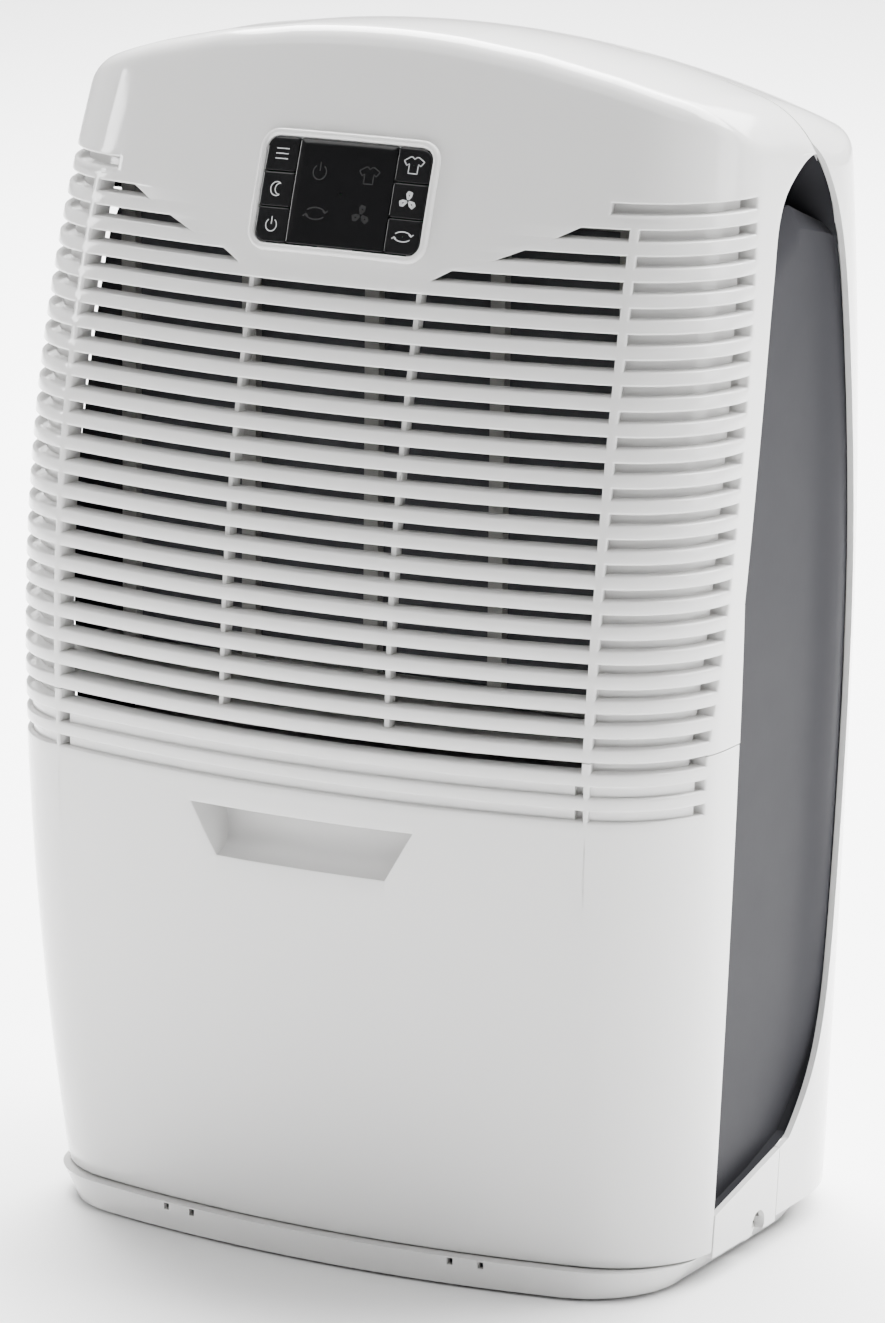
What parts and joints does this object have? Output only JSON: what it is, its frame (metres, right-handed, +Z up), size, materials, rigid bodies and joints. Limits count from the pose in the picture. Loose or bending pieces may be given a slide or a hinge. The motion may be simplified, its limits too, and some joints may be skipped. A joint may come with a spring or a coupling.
{
  "type": "dehumidifier",
  "caption": "Upright portable compressor dehumidifier with a louvred front, grey side panels, a key panel and a slide-out water tank below.",
  "frame": {"origin": "on the floor under the middle of the bounding box", "axes": "+Z up, front and control panel towards -Y, +X to the right of a person facing the front"},
  "size_m": [0.342, 0.258, 0.535],
  "materials": {
    "white_gloss": "moulded gloss white",
    "white_satin": "moulded satin white",
    "grey_satin": "moulded satin dark grey",
    "grey_plastic": "moulded mid grey",
    "black_gloss": "smoked gloss black",
    "black_plastic": "moulded black",
    "black_rubber": "moulded rubber",
    "zinc_steel": "zinc plated",
    "clear_plastic": "translucent",
    "foam_white": "moulded float",
    "magnet_black": "ferrite",
    "filter_net": "woven net",
    "fin_aluminium": "plain sheet",
    "copper": "drawn copper",
    "lamination": "stacked steel",
    "black_paint": "baked enamel",
    "board_green": "coated board"
  },
  "bodies": {
    "root": {"front_cover": "white_gloss", "rear_cover": "white_gloss", "outlet_grille": "white_gloss", "base_tray": "white_satin", "control_bezel": "white_gloss", "display_window": "black_gloss", "display_board": "board_green", "power_board": "board_green", "side_panel_left": "grey_satin", "side_panel_right": "grey_satin", "rubber_feet": "black_rubber", "compressor_grommets": "black_rubber", "cable_gland": "black_rubber", "base_screws": "zinc_steel", "cover_screws": "zinc_steel", "motor_screws": "zinc_steel", "compressor_studs": "zinc_steel", "motor_bearings": "zinc_steel", "motor_bracket": "zinc_steel", "deck_plate": "grey_plastic", "bay_wall": "grey_plastic", "drip_tray": "grey_plastic", "fan_shroud": "grey_plastic", "filter_frame": "black_plastic", "filter_mesh": "filter_net", "evaporator_fins": "fin_aluminium", "condenser_fins": "fin_aluminium", "evaporator_tube": "copper", "condenser_tube": "copper", "discharge_pipe": "copper", "suction_pipe": "copper", "liquid_line": "copper", "capillary_tube": "copper", "filter_drier": "copper", "motor_stator": "lamination", "motor_housing": "zinc_steel", "compressor": "black_paint", "suction_accumulator": "black_paint", "terminal_cover": "black_plastic", "run_capacitor": "white_satin", "electrics_tray": "grey_plastic", "electrics_cover": "grey_plastic", "humidity_sensor": "board_green", "reed_switch": "black_plastic"},
    "tank": {"tank_front": "white_gloss", "tank_bucket": "clear_plastic", "tank_lid": "grey_plastic", "float_pin": "zinc_steel"},
    "float": {"tank_float": "foam_white", "float_magnet": "magnet_black"},
    "fan": {"fan_impeller": "black_plastic", "impeller_clip": "zinc_steel", "motor_shaft": "zinc_steel", "motor_rotor": "lamination"},
    "power_key": {"power_key": "black_gloss"},
    "boost_key": {"boost_key": "black_gloss"},
    "menu_key": {"menu_key": "black_gloss"},
    "cycle_key": {"cycle_key": "black_gloss"},
    "fan_key": {"fan_key": "black_gloss"},
    "laundry_key": {"laundry_key": "black_gloss"}
  },
  "joints": [
    {"name": "tank_slide", "type": "slide", "parent": "root", "child": "tank", "axis": [0, -1, 0], "range_m": [0, 0.17]},
    {"name": "float_hinge", "type": "hinge", "parent": "tank", "child": "float", "pos_m": [-0.07, -0.034, 0.15798], "axis": [-1, 0, 0], "range_deg": [0, 10]},
    {"name": "fan_spin", "type": "hinge", "parent": "root", "child": "fan", "pos_m": [0, 0.03, 0.36318], "axis": [0, 1, 0], "continuous": true},
    {"name": "power_key_press", "type": "slide", "parent": "root", "child": "power_key", "axis": [0, 0.952, -0.3061], "range_m": [0, 0.0008], "stiffness_N_per_m": 900},
    {"name": "boost_key_press", "type": "slide", "parent": "root", "child": "boost_key", "axis": [0, 0.952, -0.3061], "range_m": [0, 0.0008], "stiffness_N_per_m": 900},
    {"name": "menu_key_press", "type": "slide", "parent": "root", "child": "menu_key", "axis": [0, 0.952, -0.3061], "range_m": [0, 0.0008], "stiffness_N_per_m": 900},
    {"name": "cycle_key_press", "type": "slide", "parent": "root", "child": "cycle_key", "axis": [0, 0.952, -0.3061], "range_m": [0, 0.0008], "stiffness_N_per_m": 900},
    {"name": "fan_key_press", "type": "slide", "parent": "root", "child": "fan_key", "axis": [0, 0.952, -0.3061], "range_m": [0, 0.0008], "stiffness_N_per_m": 900},
    {"name": "laundry_key_press", "type": "slide", "parent": "root", "child": "laundry_key", "axis": [0, 0.952, -0.3061], "range_m": [0, 0.0008], "stiffness_N_per_m": 900}
  ]
}
